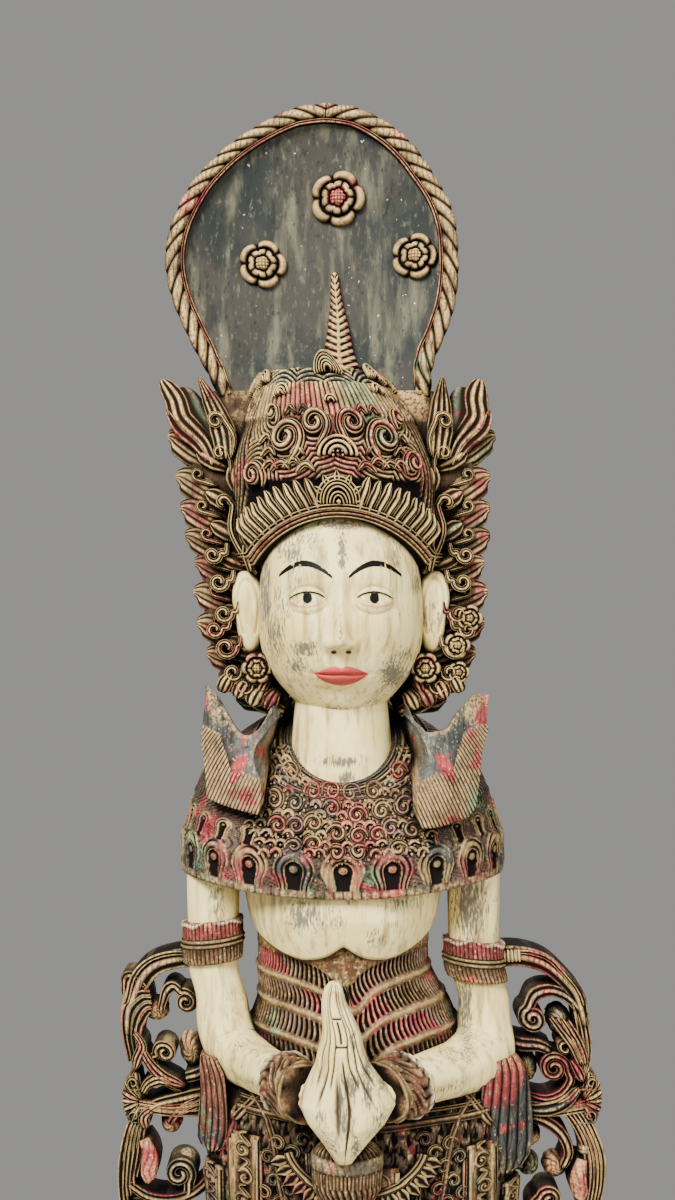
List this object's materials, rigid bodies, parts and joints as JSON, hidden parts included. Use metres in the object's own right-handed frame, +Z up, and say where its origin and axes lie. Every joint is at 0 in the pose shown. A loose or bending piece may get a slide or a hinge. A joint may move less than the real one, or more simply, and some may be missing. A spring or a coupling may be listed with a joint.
{
  "type": "carved wooden figure",
  "caption": "Tall carved and painted wooden figure with praying hands, a high crown with a dished plate behind it, ear wings, a relief collar and pierced side scrolls, on a low lotus base.",
  "frame": {"origin": "middle of the base's underside", "axes": "+Z up along the figure, -Y towards the viewer (the way the face looks), +X to the viewer's right"},
  "size_m": [0.4389, 0.348, 1.5071],
  "materials": {
    "painted_wood": "worn old paint and dull gilding on carved wood"
  },
  "bodies": {
    "root": {"figure": "painted_wood"}
  },
  "joints": []
}
